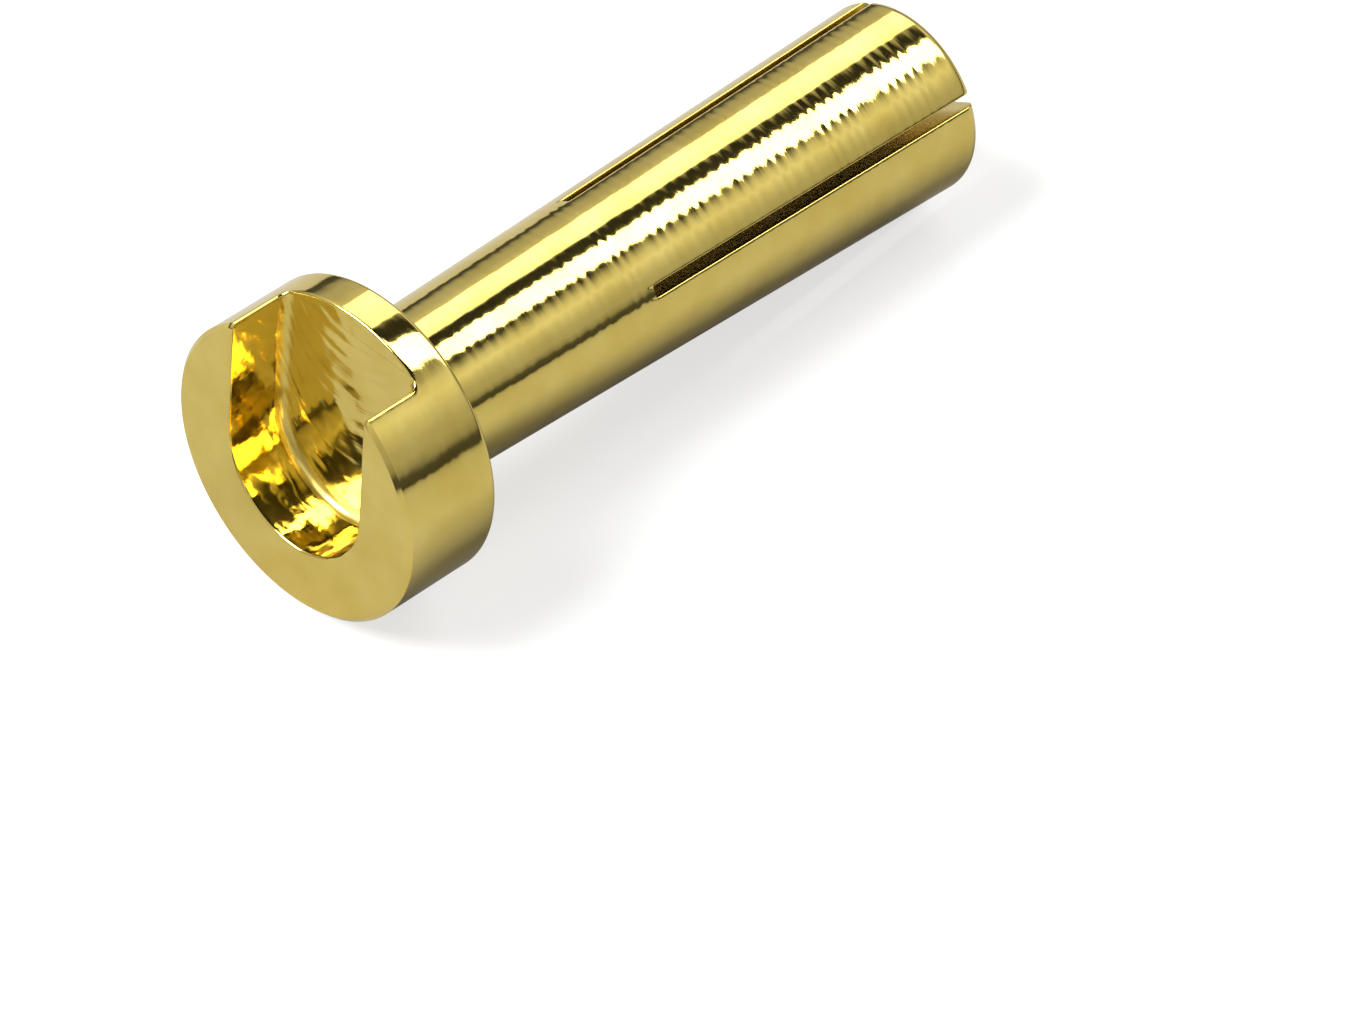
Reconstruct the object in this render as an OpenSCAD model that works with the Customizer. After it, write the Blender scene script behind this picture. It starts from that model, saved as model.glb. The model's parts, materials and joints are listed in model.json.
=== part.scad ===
// Low-profile bullet plug for a battery lead, turned from one piece of brass.
// A short head carries a U-shaped solder cup, open to its front face and to one side.
// A plain pin widens to its tip and is slit crosswise into four sprung fingers.
// The plug lies as it comes to rest: on the head's rear rim and the pin's tip,
// with the cup open upwards and the pin towards +X. Lengths are in millimetres.

/* [Head] */
// Diameter of the head
head_d = 7.6; // [6.8:0.1:9]
// Length of the head along the plug's axis
head_len = 2.75; // [2.3:0.05:4]
// Break on the front face's outer edge
front_chamfer = 0.1; // [0.05:0.01:0.2]
// Round on the rear rim
rim_round = 0.15; // [0.1:0.01:0.3]

/* [Solder cup] */
// Width of the cup, which is the cutter's diameter
cup_w = 4.25; // [3:0.05:5]
// Depth of the cup from the front face
cup_depth = 1.7; // [1:0.05:2]
// Round between the cup's floor and its wall, which is the cutter's corner
cup_corner = 0.25; // [0.05:0.01:0.5]

/* [Pin] */
// Length of the pin beyond the head
pin_len = 17.55; // [14:0.05:20]
// Diameter of the pin at its root
pin_root_d = 4.1; // [3.6:0.05:4.6]
// Diameter of the unsprung pin just behind its tip
pin_tip_d = 5; // [4.7:0.05:5.4]
// Round between the pin and the head
root_fillet = 0.15; // [0.05:0.01:0.3]
// Round on the pin's tip
tip_round = 0.3; // [0.2:0.05:0.6]

/* [Slits] */
// Width of each slit
slit_w = 0.3; // [0.2:0.01:0.6]
// Length of the slits, from the tip
slit_len = 10.8; // [8:0.1:12]
// Radius of the saw that cuts the slits
saw_r = 15; // [13:0.5:20]
// Turn of the slits about the axis, from the middle of the cup's opening
slit_clock = 60; // [0:1:89]

/* [Hidden] */
$fn = 96;
// Cutters reach this far past the faces that they cut
over = 1;

head_r = head_d / 2;
root_r = pin_root_d / 2;
tip_r = pin_tip_d / 2;
plug_len = head_len + pin_len;

// The pin's side is one cone, from the head's rear face to the start of the tip's round.
cone_len = pin_len - tip_round;
flare = atan((tip_r - root_r) / cone_len);

// The cup's wall is half of its width from the axis.
cup_r = cup_w / 2;

// Centres of the rounds in the half section, as [radius, distance from the front face].
// The plug rests on the first two.
rim_centre = [head_r - rim_round, head_len - rim_round];
tip_centre = [tip_r - tip_round / cos(flare), plug_len - tip_round];
fillet_centre = [root_r + root_fillet * (tan(flare) + 1 / cos(flare)), head_len + root_fillet];

// Slope of the axis at rest: the line that touches both rounds from below lies on the ground.
contact_span = tip_centre - rim_centre;
rest_slope = atan(-contact_span.x / contact_span.y) + asin((rim_round - tip_round) / norm(contact_span));

// Extents of the plug at rest, measured from the centre of its front face
x_low = (head_r - front_chamfer) * sin(-rest_slope);
x_high = tip_centre.y * cos(rest_slope) + tip_centre.x * sin(rest_slope) + tip_round;
z_low = -rim_centre.x * cos(rest_slope) - rim_centre.y * sin(rest_slope) - rim_round;

// Half section of the head, from the axis out to its edges
module head_section() {
    polygon([
        [0, 0],
        [head_r - front_chamfer, 0],
        [head_r, front_chamfer],
        [head_r, rim_centre.y],
        [rim_centre.x, head_len],
        [0, head_len]
    ]);
    translate(rim_centre) circle(r = rim_round);
}

// Half section of the pin, with its flare and its rounded tip
module pin_section() {
    polygon([
        [0, head_len / 2],
        [root_r, head_len / 2],
        [root_r, head_len],
        tip_centre + tip_round * [cos(flare), -sin(flare)],
        [tip_centre.x, plug_len],
        [0, plug_len]
    ]);
    translate(tip_centre) circle(r = tip_round);
}

// Half section of the round where the pin leaves the head. It meets the flare tangentially.
module fillet_section() {
    flare_touch = fillet_centre + root_fillet * [-cos(flare), sin(flare)];
    difference() {
        polygon([
            [0, head_len / 2],
            [fillet_centre.x, head_len / 2],
            [fillet_centre.x, fillet_centre.y],
            flare_touch,
            [0, flare_touch.y]
        ]);
        translate(fillet_centre) circle(r = root_fillet);
    }
}

module turned_blank() {
    rotate_extrude() {
        head_section();
        pin_section();
        fillet_section();
    }
}

// Half section of the cutter, from its axis out, with its rounded corner at the cup's floor
module cutter_section() {
    corner_centre = [cup_r - cup_corner, cup_depth - cup_corner];
    polygon([
        [0, -over],
        [cup_r, -over],
        [cup_r, corner_centre.y],
        [corner_centre.x, cup_depth],
        [0, cup_depth]
    ]);
    translate(corner_centre) circle(r = cup_corner);
}

// The cutter sinks on the axis and runs out through the side of the head, towards -X.
module cup_cut() {
    rotate_extrude() cutter_section();
    rotate([90, 0, -90]) linear_extrude(head_r + over) {
        cutter_section();
        mirror([1, 0, 0]) cutter_section();
    }
}

// One pass of the saw, fed in from the tip. Its rim leaves the slit's end slightly curved.
module slit_cut() {
    translate([0, slit_w / 2, plug_len - slit_len + saw_r])
        rotate([90, 0, 0]) cylinder(r = saw_r, h = slit_w, $fn = 240);
}

module bullet_plug() {
    color("gold")
    translate([-(x_low + x_high) / 2, 0, -z_low])
    rotate([0, 90 + rest_slope, 0])
    difference() {
        turned_blank();
        cup_cut();
        for (turn = [0, 90]) rotate([0, 0, slit_clock + turn]) slit_cut();
    }
}

bullet_plug();
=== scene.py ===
"""A low-profile bullet plug for a battery lead, gold plated, lying on a white bench.

The plug is one piece: a short head with a U-shaped solder cup, and a flared pin slit into four
fingers. Here it is worked out again as one closed surface on fine grids, with its edges broken
and its tool marks in the finish. It stands for the CAD solid and keeps that solid's form.

Lengths are millimetres until a mesh or a lamp is placed, and metres from there on.
"""
import json
import math

import bmesh
import bpy
import numpy as np
from mathutils import Matrix, Vector


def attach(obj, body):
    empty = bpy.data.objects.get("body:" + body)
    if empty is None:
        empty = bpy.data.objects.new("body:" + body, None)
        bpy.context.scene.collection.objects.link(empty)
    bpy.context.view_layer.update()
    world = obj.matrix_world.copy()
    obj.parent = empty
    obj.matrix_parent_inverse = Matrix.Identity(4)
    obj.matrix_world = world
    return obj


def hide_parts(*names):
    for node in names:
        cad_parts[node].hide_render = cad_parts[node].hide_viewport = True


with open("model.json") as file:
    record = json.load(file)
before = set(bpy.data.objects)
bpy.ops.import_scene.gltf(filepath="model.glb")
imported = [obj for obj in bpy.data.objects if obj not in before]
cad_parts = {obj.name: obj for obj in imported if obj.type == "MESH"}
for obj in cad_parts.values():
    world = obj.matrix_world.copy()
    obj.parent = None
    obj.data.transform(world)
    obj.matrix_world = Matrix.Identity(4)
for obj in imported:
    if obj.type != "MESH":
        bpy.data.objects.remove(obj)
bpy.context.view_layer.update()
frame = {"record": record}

MM = 0.001

# ---------------------------------------------------------------- the plug's sizes

HEAD_R = 3.8
HEAD_LEN = 2.75
FRONT_CHAMFER = 0.1
RIM_ROUND = 0.15

CUP_R = 2.125
CUP_DEPTH = 1.7
CUP_CORNER = 0.25

PIN_LEN = 17.55
ROOT_R = 2.05
TIP_R = 2.5
ROOT_FILLET = 0.15
TIP_ROUND = 0.3

SLIT_HALF = 0.15
SLIT_LEN = 10.8
SAW_R = 15.0
SLIT_CLOCK = math.radians(60)

# Radii of the broken edges on the head and along the slits, too small to be in the CAD solid
EDGE = 0.06
SLIT_EDGE = 0.03

PLUG_LEN = HEAD_LEN + PIN_LEN
FLARE = math.atan((TIP_R - ROOT_R) / (PIN_LEN - TIP_ROUND))
TIP_CENTRE_R = TIP_R - TIP_ROUND / math.cos(FLARE)
TIP_CENTRE_S = PLUG_LEN - TIP_ROUND
FILLET_CENTRE_R = ROOT_R + ROOT_FILLET * (math.tan(FLARE) + 1 / math.cos(FLARE))

# The plug's own directions, read from the solder cup's mount: the axis runs from the front face to
# the tip, across is level, and up is the cup's open side.
mounts = {m["name"]: m for m in frame["record"]["mounts"]}
AXIS = -np.array(mounts["solder_cup"]["axis"])
ACROSS = np.array([0.0, -1.0, 0.0])
UP = np.cross(ACROSS, AXIS)
FRONT = np.array(mounts["solder_cup"]["pos_m"]) / MM - CUP_DEPTH * AXIS

# Grid counts of the head: round the horseshoe's outside, up a straight wall of the cup, across the
# cup's opening, across a broken edge, and down the round in the cup's corner
OUTER_COLUMNS = 210
WALL_COLUMNS = 50
OPENING_COLUMNS = 46
EDGE_COLUMNS = 4
CORNER_ROWS = 7
# Grid counts of the pin: across a slit, round a finger, and from the axis out along a slit's wall
SLIT_COLUMNS = 4
FINGER_COLUMNS = 60
SLIT_ROWS = 14


# ---------------------------------------------------------------- surfaces

def arc(centre, radius, start, end, count):
    """Points of an arc in a plane: centre + radius * (cos, sin) of angles from start to end, in radians."""
    turn = np.linspace(start, end, count + 1)
    return np.stack([centre[0] + radius * np.cos(turn), centre[1] + radius * np.sin(turn)], axis=-1)


def placed(s, u, v):
    """Points in the world's frame, in millimetres, from distances s along the axis, u up and v across."""
    s, u, v = np.broadcast_arrays(s, u, v)
    return FRONT + s[..., None] * AXIS + u[..., None] * UP + v[..., None] * ACROSS


def cone_radius(s):
    """The pin's radius at distance s: the root's radius plus the flare's slope times the way from
    the head."""
    return ROOT_R + (s - HEAD_LEN) * math.tan(FLARE)


def head_radius(s):
    """The head's radius near its front: a 45 degree break that runs out on the side."""
    return HEAD_R - np.clip(FRONT_CHAMFER - s, 0, None)


def cup_half_width(s):
    """Half of the cup's width at depth s: the cutter's radius, widened by a quarter round at the mouth
    and narrowed by a quarter round at the floor."""
    mouth = np.clip(EDGE - s, 0, EDGE)
    floor = np.clip(s - (CUP_DEPTH - CUP_CORNER), 0, CUP_CORNER)
    return (CUP_R + EDGE - np.sqrt(EDGE**2 - mouth**2)
            - CUP_CORNER + np.sqrt(CUP_CORNER**2 - floor**2))


def horseshoe(s):
    """One closed section of the head through the cup, as four runs of (up, across) points.

    Both ends of the horseshoe are broken by a small arc that touches the outer circle from inside
    and the cup's straight wall: its centre is one edge radius from the wall, and its distance from
    the axis is the outer radius less the edge radius.
    """
    r, c = head_radius(s), cup_half_width(s)
    v = c + EDGE
    u = math.sqrt((r - EDGE) ** 2 - v**2)
    lean = math.atan2(v, u)
    outside = arc((0, 0), r, lean, 2 * math.pi - lean, OUTER_COLUMNS)
    right = arc((u, v), EDGE, -math.pi / 2, lean, EDGE_COLUMNS)
    left = right[::-1] * [1, -1]
    straight = np.stack([np.linspace(u, 0, WALL_COLUMNS + 1), np.full(WALL_COLUMNS + 1, c)], axis=-1)
    bottom = arc((0, 0), c, math.pi / 2, 3 * math.pi / 2, OUTER_COLUMNS - 2 * WALL_COLUMNS)
    wall = np.concatenate([straight, bottom[1:-1], straight[::-1] * [1, -1]])
    return outside, left, wall, right


def head_front():
    """The horseshoe's surfaces: its side and the cup's wall, and the flat face that joins them.

    The sections are lofted over the rows of s. The face is ruled between the outer and the inner run
    of the first section, which meet in the middle of each small corner arc.
    """
    rows = np.concatenate([
        EDGE * (1 - np.cos(np.linspace(0, math.pi / 2, EDGE_COLUMNS + 1))),
        np.linspace(EDGE, FRONT_CHAMFER, 3)[1:],
        np.linspace(0.16, CUP_DEPTH - CUP_CORNER, 16),
        CUP_DEPTH - CUP_CORNER * (1 - np.sin(np.linspace(0, math.pi / 2, CORNER_ROWS + 1)[1:])),
    ])
    sections = [horseshoe(s) for s in rows]
    runs = [np.stack(run) for run in zip(*sections)]
    outside, left, wall, right = [placed(rows[:, None], run[..., 0], run[..., 1]) for run in runs]
    half = EDGE_COLUMNS // 2
    outer = np.concatenate([right[0][half:], outside[0][1:-1], left[0][:half + 1]])
    inner = np.concatenate([right[0][half::-1], wall[0][1:-1], left[0][:half - 1:-1]])
    share = np.linspace(0, 1, 9)[:, None, None]
    face = outer * (1 - share) + inner * share
    return {"side": outside, "left": left, "wall": wall, "right": right, "face": face}


def cup_floor():
    """The cup's flat floor, ruled straight across between its right and its left edge.

    An edge runs up the wall from the bottom of the U, round the small corner arc, and along the
    head's circle to the middle of the opening.
    """
    outside, left, wall, right = horseshoe(CUP_DEPTH)
    lean = math.atan2(outside[0][1], outside[0][0])
    turn = np.linspace(-lean, lean, OPENING_COLUMNS + 1)[:OPENING_COLUMNS // 2 - 1:-1]
    radius = HEAD_R - opening_inset()[:OPENING_COLUMNS // 2 + 1]
    opening = np.stack([radius * np.cos(turn), radius * np.sin(turn)], axis=-1)
    edge = np.concatenate([wall[len(wall) // 2::-1], right[1:], opening[1:]])
    share = np.linspace(1, -1, 25)[:, None]
    return placed(CUP_DEPTH, edge[:, 0], edge[:, 1] * share)


def opening_inset():
    """How far the edge across the cup's opening is broken back, in each column: a full edge radius,
    running out to nothing over two columns at either end."""
    column = np.arange(OPENING_COLUMNS + 1)
    return EDGE * np.clip(np.minimum(column, OPENING_COLUMNS - column) / 2, 0, 1)


def head_rings():
    """Angles of the columns round the head: even round the horseshoe's outside, even across the opening."""
    outside = horseshoe(CUP_DEPTH)[0]
    lean = math.atan2(outside[0][1], outside[0][0])
    return np.concatenate([
        np.linspace(-lean, lean, OPENING_COLUMNS + 1),
        np.linspace(lean, 2 * math.pi - lean, OUTER_COLUMNS + 1)[1:],
    ])


def pin_rings(radius):
    """Angles of the columns round the pin: a few across each slit's width, the rest even between slits."""
    half = np.arcsin(SLIT_HALF / np.asarray(radius, float))[..., None]
    quarter = math.pi / 2
    slit = np.linspace(-1, 1, SLIT_COLUMNS + 1) * half
    finger = half + np.linspace(0, 1, FINGER_COLUMNS + 1)[1:-1] * (quarter - 2 * half)
    first = SLIT_CLOCK - quarter
    sectors = [np.concatenate([slit, finger], axis=-1) + first + k * quarter for k in range(4)]
    return np.concatenate(sectors + [sectors[0][..., :1] + 2 * math.pi], axis=-1)


def turned_body():
    """Everything turned between the cup's floor and the slits: rings of radius r at distance s.

    The rows go along the head's side, round its rear rim, down its rear face, through the fillet and
    out along the flared pin. The columns slide from the head's angles to the pin's on the rear face.
    Across the cup's opening the first rows are drawn in by a quarter round, which breaks that edge.
    """
    head = head_rings()
    start = CUP_DEPTH + EDGE * (1 - np.cos(np.linspace(0, math.pi / 2, EDGE_COLUMNS + 1)))
    side = np.concatenate([start, np.linspace(CUP_DEPTH + 0.1, HEAD_LEN - RIM_ROUND, 9)])
    rim = arc((HEAD_R - RIM_ROUND, HEAD_LEN - RIM_ROUND), RIM_ROUND, 0, math.pi / 2, 10)[1:]
    face_r = np.linspace(HEAD_R - RIM_ROUND, FILLET_CENTRE_R, 7)[1:]
    fillet = arc((FILLET_CENTRE_R, HEAD_LEN + ROOT_FILLET), ROOT_FILLET,
                 -math.pi / 2, -math.pi - FLARE, 8)[1:]
    cone_s = np.linspace(fillet[-1][1], slit_start(), 40)[1:]
    r = np.concatenate([np.full(len(side), HEAD_R), rim[:, 0], face_r, fillet[:, 0], cone_radius(cone_s)])
    s = np.concatenate([side, rim[:, 1], np.full(len(face_r), HEAD_LEN), fillet[:, 1], cone_s])
    first_face = len(side) + len(rim)
    slide = np.clip((np.arange(len(r)) - first_face + 1) / len(face_r), 0, 1)[:, None]
    turn = head * (1 - slide) + pin_rings(r) * slide
    rise = np.clip((CUP_DEPTH + EDGE - s) / EDGE, 0, 1)[:, None]
    radius = np.repeat(r[:, None], len(head), axis=1)
    radius[:, :OPENING_COLUMNS + 1] -= (1 - np.sqrt(1 - rise**2)) * opening_inset()
    rings = placed(s[:, None], radius * np.cos(turn), radius * np.sin(turn))
    return rings, first_face, len(face_r)


def slit_floor(reach):
    """Distance from the front face at which the saw's rim stops, a circle of the saw's radius, at
    this distance from the axis."""
    return PLUG_LEN - SLIT_LEN + SAW_R - np.sqrt(SAW_R**2 - reach**2)


def slit_start():
    """Distance at which the slits break out of the pin's side: the cone meets the saw's rim there."""
    s = PLUG_LEN - SLIT_LEN
    for _ in range(20):
        s = float(slit_floor(math.sqrt(cone_radius(s) ** 2 - SLIT_HALF**2)))
    return s


def finger_rows():
    """Distance, outer radius, half slit and edge radius of each row from the slits' start to the tip.

    The edge radius grows from nothing at the slits' blind end. At the tip the slits open by a
    quarter round, and the side runs over the tip's round.
    """
    begin = slit_start()
    cone = np.concatenate([[0, 0.03, 0.07, 0.12], np.linspace(0.2, TIP_CENTRE_S - begin, 44)]) + begin
    touch_s = TIP_CENTRE_S - TIP_ROUND * math.sin(FLARE)
    cone = np.concatenate([cone[cone < touch_s - 0.02], [touch_s]])
    nose = arc((TIP_CENTRE_R, TIP_CENTRE_S), TIP_ROUND, -FLARE, math.pi / 2, 16)[1:]
    s = np.concatenate([cone, nose[:, 1]])
    r = np.concatenate([cone_radius(cone), nose[:, 0]])
    mouth = np.clip(s - (PLUG_LEN - SLIT_EDGE), 0, SLIT_EDGE)
    half = SLIT_HALF + SLIT_EDGE - np.sqrt(SLIT_EDGE**2 - mouth**2)
    edge = SLIT_EDGE * np.clip((s - begin) / 0.1, 0, 1)
    return s, r, half, edge


def finger(quarter):
    """One finger's outside, its two sawn walls and its quarter of the tip's face.

    In a frame turned so that the slits lie along x and y, the outside is a circle about the axis,
    and a small arc breaks its corner with each wall. The walls are ruled from the corner near the
    axis out to those arcs, and the face is a fan from the same corner.
    """
    s, r, half, edge = [row[:, None] for row in finger_rows()]
    begin = s[0, 0]
    x = np.sqrt((r - edge) ** 2 - (half + edge) ** 2)
    lean = np.arctan2(half + edge, x)
    small = np.linspace(0, 1, EDGE_COLUMNS + 1)
    swing = -math.pi / 2 + small * (lean + math.pi / 2)
    near = np.stack([x + edge * np.cos(swing), half + edge + edge * np.sin(swing)], axis=-1)
    turn = lean + np.linspace(0, 1, FINGER_COLUMNS + 1) * (math.pi / 2 - 2 * lean)
    middle = np.stack([r * np.cos(turn), r * np.sin(turn)], axis=-1)
    far = near[:, ::-1, ::-1]
    outline = np.concatenate([near, middle[:, 1:-1], far], axis=1)

    reach = np.linspace(0, 1, SLIT_ROWS + 1)
    corner = np.concatenate([half, half], axis=1)[:, None, :]
    wall = corner + reach[:, None] * (near[:, :1] - corner)
    first = slit_floor(wall[0, :, 0])
    first[-1] = begin
    down = first + (s - begin) / (PLUG_LEN - begin) * (PLUG_LEN - first)
    face = corner[-1] + reach[:, None, None] * (outline[-1] - corner[-1])

    def turned(points, distance):
        angle = SLIT_CLOCK + quarter * math.pi / 2
        u = points[..., 0] * math.cos(angle) - points[..., 1] * math.sin(angle)
        v = points[..., 0] * math.sin(angle) + points[..., 1] * math.cos(angle)
        return placed(distance, u, v)

    return {
        "side": turned(outline, s),
        "walls": [turned(wall, down), turned(wall[..., ::-1], down)],
        "face": turned(face, PLUG_LEN),
    }


def slit_end(quarter):
    """The blind end of one arm of the slits: ruled from the square at the axis out to the cone,
    at the distance that the saw's rim leaves."""
    begin = slit_start()
    radius = cone_radius(begin)
    turn = np.arcsin(SLIT_HALF / radius) * np.linspace(-1, 1, SLIT_COLUMNS + 1)
    y = radius * np.sin(turn)
    reach = np.linspace(0, 1, SLIT_ROWS + 1)[:, None]
    x = SLIT_HALF + reach * (radius * np.cos(turn) - SLIT_HALF)
    s = slit_floor(SLIT_HALF + reach * (radius * math.cos(turn[0]) - SLIT_HALF))
    s[-1] = begin
    angle = SLIT_CLOCK + quarter * math.pi / 2
    u = x * math.cos(angle) - y * math.sin(angle)
    v = x * math.sin(angle) + y * math.cos(angle)
    return placed(s, u, v)


def slit_crossing():
    """The small square where the slits cross, at the depth that the saw leaves there."""
    radius = cone_radius(slit_start())
    y = radius * np.sin(np.arcsin(SLIT_HALF / radius) * np.linspace(-1, 1, SLIT_COLUMNS + 1))
    x, y = np.meshgrid(y, y)
    u = x * math.cos(SLIT_CLOCK) - y * math.sin(SLIT_CLOCK)
    v = x * math.sin(SLIT_CLOCK) + y * math.cos(SLIT_CLOCK)
    return placed(slit_floor(np.array(SLIT_HALF)), u, v)


# ---------------------------------------------------------------- the mesh

def welded_mesh(name, patches, materials):
    """One closed mesh from grids of points, each with the number of its material.

    Each grid becomes quads between neighbouring points. Points of neighbouring grids that coincide
    are merged, faces that shrink to nothing go, and all faces are turned outwards.
    """
    points, quads, finish, offset = [], [], [], 0
    for grid, number in patches:
        rows, columns = grid.shape[:2]
        index = np.arange(rows * columns).reshape(rows, columns) + offset
        quad = np.stack([index[:-1, :-1], index[:-1, 1:], index[1:, 1:], index[1:, :-1]], axis=-1)
        points.append(grid.reshape(-1, 3))
        quads.append(quad.reshape(-1, 4))
        finish.append(np.full((rows - 1) * (columns - 1), number))
        offset += rows * columns
    mesh = bpy.data.meshes.new(name)
    mesh.from_pydata(np.concatenate(points) * MM, [], np.concatenate(quads))
    mesh.polygons.foreach_set("material_index", np.concatenate(finish).astype(np.int32))
    for material in materials:
        mesh.materials.append(material)

    shell = bmesh.new()
    shell.from_mesh(mesh)
    bmesh.ops.remove_doubles(shell, verts=shell.verts, dist=1e-8)
    bmesh.ops.recalc_face_normals(shell, faces=shell.faces)
    shell.to_mesh(mesh)
    shell.free()
    mesh.polygons.foreach_set("use_smooth", np.ones(len(mesh.polygons), dtype=bool))
    mesh.set_sharp_from_angle(angle=math.radians(40))
    mesh.update()
    return mesh


TURNED, FACED, WALL, CORNER, FLOOR, SAWN = range(6)


def plug_patches():
    """Every grid of the plug's surface, with the finish that its tool leaves."""
    front = head_front()
    patches = [
        (front["side"], TURNED), (front["left"], TURNED), (front["right"], TURNED),
        (front["wall"][:-CORNER_ROWS], WALL), (front["wall"][-CORNER_ROWS - 1:], CORNER),
        (front["face"], FACED), (cup_floor(), FLOOR),
    ]
    rings, first_face, face_rows = turned_body()
    patches += [
        (rings[:first_face], TURNED),
        (rings[first_face - 1:first_face + face_rows], FACED),
        (rings[first_face + face_rows - 1:], TURNED),
    ]
    for quarter in range(4):
        part = finger(quarter)
        patches += [(part["side"], TURNED), (part["face"], FACED), (slit_end(quarter), SAWN)]
        patches += [(wall, SAWN) for wall in part["walls"]]
    patches.append((slit_crossing(), SAWN))
    return patches


# ---------------------------------------------------------------- finishes

class Graph:
    """Adds nodes to one tree, places them in a row and links them."""

    def __init__(self, tree):
        self.tree = tree
        self.count = 0

    def node(self, kind, **settings):
        made = self.tree.nodes.new(kind)
        for key, value in settings.items():
            setattr(made, key, value)
        made.location = (180 * self.count, 0)
        self.count += 1
        return made

    def feed(self, socket, value):
        if isinstance(value, bpy.types.NodeSocket):
            self.tree.links.new(value, socket)
        else:
            socket.default_value = value

    def math(self, operation, *values):
        made = self.node("ShaderNodeMath", operation=operation)
        for socket, value in zip(made.inputs, values):
            self.feed(socket, value)
        return made.outputs[0]

    def noise(self, where, scale, detail):
        """Noise from 0 to 1 over a point, or over a distance along one line."""
        line = where.type == "VALUE"
        made = self.node("ShaderNodeTexNoise", noise_dimensions="1D" if line else "3D")
        self.feed(made.inputs["W" if line else "Vector"], where)
        made.inputs["Scale"].default_value = scale
        made.inputs["Detail"].default_value = detail
        return made.outputs["Fac"]

    def ramp(self, value, start, end, low, high):
        """A number that runs from low to high while value runs from start to end."""
        made = self.node("ShaderNodeMapRange")
        self.feed(made.inputs["Value"], value)
        for label, bound in (("From Min", start), ("From Max", end), ("To Min", low), ("To Max", high)):
            made.inputs[label].default_value = bound
        return made.outputs[0]


def group(name, inputs, outputs):
    """A shader node group with named float inputs, given as (name, value), and named outputs."""
    tree = bpy.data.node_groups.new(name, "ShaderNodeTree")
    for label, value in inputs:
        socket = tree.interface.new_socket(label, in_out="INPUT", socket_type="NodeSocketFloat")
        socket.default_value = value
    for label, kind in outputs:
        tree.interface.new_socket(label, in_out="OUTPUT", socket_type=kind)
    graph = Graph(tree)
    return tree, graph, graph.node("NodeGroupInput"), graph.node("NodeGroupOutput")


def plug_directions():
    """Where a point is on the plug, in millimetres: along the axis from the front face, up towards
    the cup's open side, across, and out from the axis."""
    tree, graph, given, out = group("plug_directions", [], [
        ("Point", "NodeSocketVector"), ("Along", "NodeSocketFloat"), ("Up", "NodeSocketFloat"),
        ("Across", "NodeSocketFloat"), ("Out", "NodeSocketFloat"),
    ])
    point = graph.node("ShaderNodeTexCoord").outputs["Object"]
    large = graph.node("ShaderNodeVectorMath", operation="SCALE")
    graph.feed(large.inputs[0], point)
    large.inputs["Scale"].default_value = 1 / MM
    near = graph.node("ShaderNodeVectorMath", operation="SUBTRACT")
    graph.feed(near.inputs[0], large.outputs[0])
    near.inputs[1].default_value = FRONT
    parts = []
    for direction in (AXIS, UP, ACROSS):
        dot = graph.node("ShaderNodeVectorMath", operation="DOT_PRODUCT")
        graph.feed(dot.inputs[0], near.outputs[0])
        dot.inputs[1].default_value = direction
        parts.append(dot.outputs["Value"])
    squares = [graph.math("MULTIPLY", part, part) for part in parts[1:]]
    graph.feed(out.inputs["Point"], near.outputs[0])
    for label, value in zip(("Along", "Up", "Across"), parts):
        graph.feed(out.inputs[label], value)
    graph.feed(out.inputs["Out"], graph.math("SQRT", graph.math("ADD", *squares)))
    return tree


def plate():
    """Gold plate: its colour drifts a little over the part, and fine stains dull the shine."""
    tree, graph, given, out = group("gold_plate", [("Shine", 0.1)], [
        ("Color", "NodeSocketColor"), ("Roughness", "NodeSocketFloat"),
    ])
    where = graph.node("ShaderNodeGroup", node_tree=directions).outputs["Point"]
    tint = graph.node("ShaderNodeMix", data_type="RGBA")
    graph.feed(tint.inputs["Factor"], graph.ramp(graph.noise(where, 0.9, 3.0), 0.3, 0.7, 0.0, 1.0))
    tint.inputs["A"].default_value = (0.66, 0.50, 0.115, 1)
    tint.inputs["B"].default_value = (0.74, 0.585, 0.165, 1)
    stain = graph.ramp(graph.noise(where, 3.0, 4.0), 0.0, 1.0, 0.75, 1.35)
    graph.feed(out.inputs["Color"], tint.outputs["Result"])
    graph.feed(out.inputs["Roughness"], graph.math("MULTIPLY", stain, given.outputs["Shine"]))
    return tree


def turning_marks():
    """Height in millimetres of the rings that a turning tool leaves, at one distance along its feed.

    The height is a sine of the feed, one wave per turn of the work, whose phase wanders and whose
    depth is uneven, with fine scratches over it. Depth is the rings' depth in micrometres.
    """
    tree, graph, given, out = group("turning_marks", [("Feed", 0.0), ("Pitch", 0.36), ("Depth", 2.0)], [
        ("Height", "NodeSocketFloat"),
    ])
    feed = given.outputs["Feed"]
    wander = graph.math("MULTIPLY", graph.noise(feed, 0.8, 1.0), 9.0)
    turns = graph.math("DIVIDE", feed, given.outputs["Pitch"])
    angle = graph.math("ADD", graph.math("MULTIPLY", turns, 2 * math.pi), wander)
    uneven = graph.ramp(graph.noise(feed, 1.7, 2.0), 0.0, 1.0, 0.3, 1.5)
    ring = graph.math("MULTIPLY", graph.math("SINE", angle), uneven)
    scratch = graph.math("MULTIPLY", graph.noise(feed, 11.0, 2.0), 0.8)
    height = graph.math("MULTIPLY", graph.math("ADD", ring, scratch), given.outputs["Depth"])
    graph.feed(out.inputs["Height"], graph.math("MULTIPLY", height, 0.001))
    return tree


directions = plug_directions()
gold_plate = plate()
rings = turning_marks()


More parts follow.
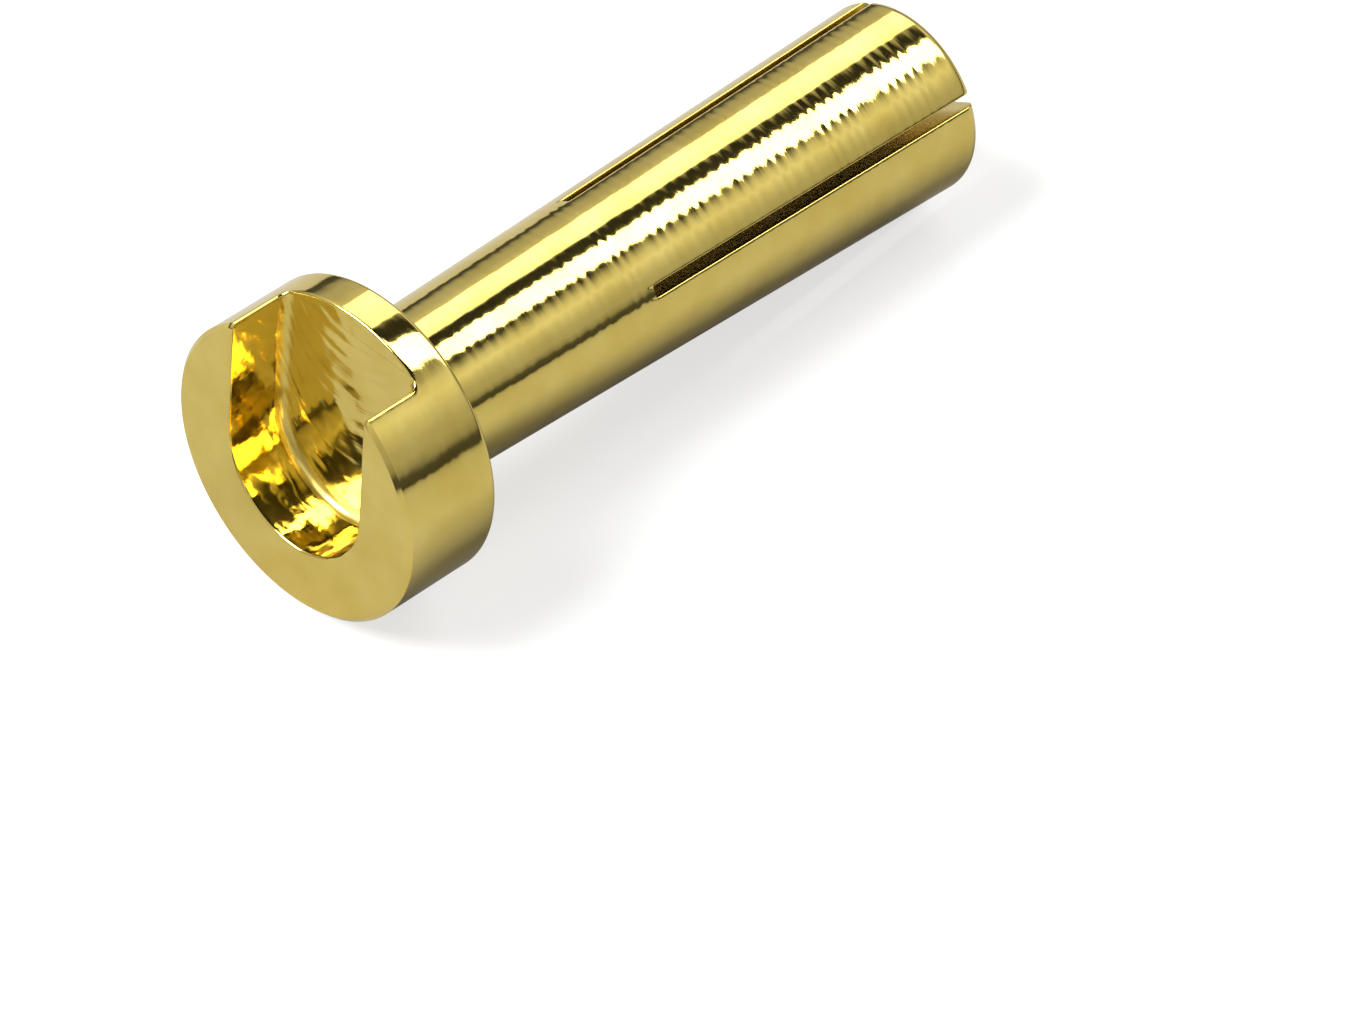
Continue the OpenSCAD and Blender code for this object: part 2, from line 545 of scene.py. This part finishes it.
def gold(name, shine, height):
    """Gold plate over turned brass, with the marks that height draws from the plug's directions."""
    material = bpy.data.materials.new(name)
    material.use_nodes = True
    graph = Graph(material.node_tree)
    shader = material.node_tree.nodes["Principled BSDF"]
    shader.inputs["Metallic"].default_value = 1.0
    colour = graph.node("ShaderNodeGroup", node_tree=gold_plate)
    colour.inputs["Shine"].default_value = shine
    graph.feed(shader.inputs["Base Color"], colour.outputs["Color"])
    graph.feed(shader.inputs["Roughness"], colour.outputs["Roughness"])
    where = graph.node("ShaderNodeGroup", node_tree=directions)
    bump = graph.node("ShaderNodeBump")
    bump.inputs["Distance"].default_value = MM
    graph.feed(bump.inputs["Height"], height(graph, where.outputs))
    graph.feed(shader.inputs["Normal"], bump.outputs[0])
    return material


def cut_rings(graph, feed, pitch, depth):
    """Turning marks along a feed and with a pitch in millimetres, and a depth in micrometres."""
    marks = graph.node("ShaderNodeGroup", node_tree=rings)
    for label, value in (("Feed", feed), ("Pitch", pitch), ("Depth", depth)):
        graph.feed(marks.inputs[label], value)
    return marks.outputs["Height"]


def waves(graph, where, per_mm, height, detail=1.0):
    """Noise with so many waves to the millimetre, and a height in millimetres."""
    return graph.math("MULTIPLY", graph.noise(where, per_mm, detail), height)


def turned_height(graph, where):
    """Rings along the plug, deeper towards the tip, over a slight unevenness of the surface."""
    depth = graph.ramp(where["Along"], 0.0, PLUG_LEN, 0.25, 1.7)
    marks = cut_rings(graph, where["Along"], pitch=0.36, depth=depth)
    return graph.math("ADD", marks, waves(graph, where["Point"], per_mm=1.1, height=0.009, detail=2.0))


def faced_height(graph, where):
    """Close rings about the axis, from the tool that faced the ends."""
    marks = cut_rings(graph, where["Out"], pitch=0.12, depth=0.25)
    return graph.math("ADD", marks, waves(graph, where["Point"], per_mm=1.3, height=0.006, detail=3.0))


def floor_height(graph, where):
    """Feed marks on the cup's floor: one arc of the cutter's own radius per step of its feed. All
    points whose up plus sqrt(radius^2 - across^2) is the same lie on one arc."""
    side = graph.math("MULTIPLY", where["Across"], where["Across"])
    rise = graph.math("SQRT", graph.math("MAXIMUM", graph.math("SUBTRACT", CUP_R**2, side), 0.0))
    marks = cut_rings(graph, graph.math("ADD", where["Up"], rise), pitch=0.45, depth=3.6)
    return graph.math("ADD", marks, waves(graph, where["Point"], per_mm=1.2, height=0.08))


def wall_height(graph, where):
    """Facets that the end mill leaves on the cup's wall, deepest at the bottom of the U."""
    depth = graph.ramp(where["Up"], -1.6, 0.4, 0.12, 0.012)
    facets = waves(graph, where["Point"], per_mm=1.3, height=depth)
    return graph.math("ADD", facets, waves(graph, where["Point"], per_mm=5.0, height=0.004))


def sawn_height(graph, where):
    """Scratches across the slits' walls."""
    return waves(graph, where["Along"], per_mm=6.0, height=0.002)


finishes = [
    gold("turned_gold", 0.07, turned_height),
    gold("faced_gold", 0.22, faced_height),
    gold("milled_wall_gold", 0.09, wall_height),
    gold("milled_corner_gold", 0.3, floor_height),
    gold("milled_floor_gold", 0.13, floor_height),
    gold("sawn_gold", 0.2, sawn_height),
]
plug_mesh = welded_mesh("plug_surface", plug_patches(), finishes)
plug = bpy.data.objects.new("plug_surface", plug_mesh)
bpy.context.scene.collection.objects.link(plug)
even = plug.modifiers.new("even_normals", "WEIGHTED_NORMAL")
even.keep_sharp = True
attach(plug, "root")
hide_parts("bullet_plug")


# ---------------------------------------------------------------- bench and light

BENCH_HALF = 0.6
BENCH_GREY = (0.33, 0.33, 0.33, 1)
# Light that the bench gives to a straight look at it, so that it reads as white round the shadow
BENCH_LIFT = 0.65
LAMP_DISTANCE = 0.5


def bench():
    """The bench: one flat square, centred under the plug."""
    corners = np.array([[-1, -1, 0], [1, -1, 0], [1, 1, 0], [-1, 1, 0]])
    mesh = bpy.data.meshes.new("bench")
    mesh.from_pydata(corners * BENCH_HALF, [], [[0, 1, 2, 3]])
    top = bpy.data.objects.new("bench", mesh)
    bpy.context.scene.collection.objects.link(top)
    material = bpy.data.materials.new("white_bench")
    material.use_nodes = True
    nodes, links = material.node_tree.nodes, material.node_tree.links
    nodes.clear()
    card = nodes.new("ShaderNodeBsdfDiffuse")
    card.inputs["Color"].default_value = BENCH_GREY
    glow = nodes.new("ShaderNodeEmission")
    glow.inputs["Color"].default_value = (1, 1, 1, 1)
    path = nodes.new("ShaderNodeLightPath")
    lift = nodes.new("ShaderNodeMath")
    lift.operation = "MULTIPLY"
    lift.inputs[1].default_value = BENCH_LIFT
    both = nodes.new("ShaderNodeAddShader")
    out = nodes.new("ShaderNodeOutputMaterial")
    links.new(path.outputs["Is Camera Ray"], lift.inputs[0])
    links.new(lift.outputs[0], glow.inputs["Strength"])
    links.new(card.outputs[0], both.inputs[0])
    links.new(glow.outputs[0], both.inputs[1])
    links.new(both.outputs[0], out.inputs["Surface"])
    mesh.materials.append(material)
    return top


def heading(azimuth, elevation):
    """Unit direction: azimuth 0 is towards -Y and 90 towards +X, elevation is above the bench."""
    a, e = math.radians(azimuth), math.radians(elevation)
    return Vector((math.sin(a) * math.cos(e), -math.cos(a) * math.cos(e), math.sin(e)))


def softbox(name, azimuth, elevation, width, height, level, along):
    """A rectangular lamp that faces the plug. level is how bright its face looks, where 1 is white,
    and along is the direction that its width follows."""
    data = bpy.data.lights.new(name, "AREA")
    data.shape = "RECTANGLE"
    data.size = width
    data.size_y = height
    data.energy = level * math.pi * width * height
    lamp = bpy.data.objects.new(name, data)
    back = heading(azimuth, elevation)
    upright = back.cross(Vector(along)).normalized()
    turn = Matrix((upright.cross(back), upright, back)).transposed().to_4x4()
    lamp.matrix_world = Matrix.Translation(back * LAMP_DISTANCE) @ turn
    bpy.context.scene.collection.objects.link(lamp)
    return lamp


# Brightness of the room by the height of a direction, the sine of its elevation: dim behind the
# bench's edge, pale walls that brighten upwards, and a dark ceiling
WALL_LIGHT = [(0.0, 0.07), (0.09, 0.10), (0.15, 0.38), (0.24, 0.55), (0.36, 0.62), (0.48, 0.80),
              (0.59, 1.10), (0.67, 0.85), (0.72, 0.45), (0.76, 0.03)]


def studio_walls():
    """The room's light, from the table of heights and brightness."""
    world = bpy.data.worlds.new("studio")
    bpy.context.scene.world = world
    world.use_nodes = True
    nodes, links = world.node_tree.nodes, world.node_tree.links
    where = nodes.new("ShaderNodeTexCoord")
    split = nodes.new("ShaderNodeSeparateXYZ")
    ramp = nodes.new("ShaderNodeValToRGB")
    stops = ramp.color_ramp.elements
    for stop, (height, light) in zip(stops, (WALL_LIGHT[0], WALL_LIGHT[-1])):
        stop.position = height
        stop.color = (light, light, light, 1)
    for height, light in WALL_LIGHT[1:-1]:
        stops.new(height).color = (light, light, light, 1)
    links.new(where.outputs["Generated"], split.inputs[0])
    links.new(split.outputs["Z"], ramp.inputs["Fac"])
    links.new(ramp.outputs["Color"], nodes["Background"].inputs["Color"])


bench()
softbox("back_softbox", azimuth=130, elevation=40, width=0.26, height=0.2, level=1.9,
        along=(0.70, 0.08, -0.60))
softbox("side_softbox", azimuth=78, elevation=52.5, width=0.3, height=0.135, level=6.5,
        along=(0.584, -0.496, -0.496))
softbox("front_softbox", azimuth=-127, elevation=48, width=0.34, height=0.28, level=21.0,
        along=(0.03, -0.91, 0.42))
studio_walls()


# ---------------------------------------------------------------- camera

def camera():
    """The camera: a long lens aimed at a point on the bench beside the plug."""
    aim = Vector((-1.957, -4.355, 0)) * MM
    away = heading(-46.168, 46.013)
    distance = 0.18595
    tilt = math.radians(0.873)
    data = bpy.data.cameras.new("camera")
    data.lens = 212.08
    data.sensor_width = 36
    data.clip_start = 0.01
    data.clip_end = 10
    eye = bpy.data.objects.new("camera", data)
    turn = away.to_track_quat("Z", "Y").to_matrix().to_4x4()
    eye.matrix_world = Matrix.Translation(aim + away * distance) @ turn @ Matrix.Rotation(tilt, 4, "Z")
    bpy.context.scene.collection.objects.link(eye)
    bpy.context.scene.camera = eye


camera()
bpy.context.scene.view_settings.view_transform = "Standard"
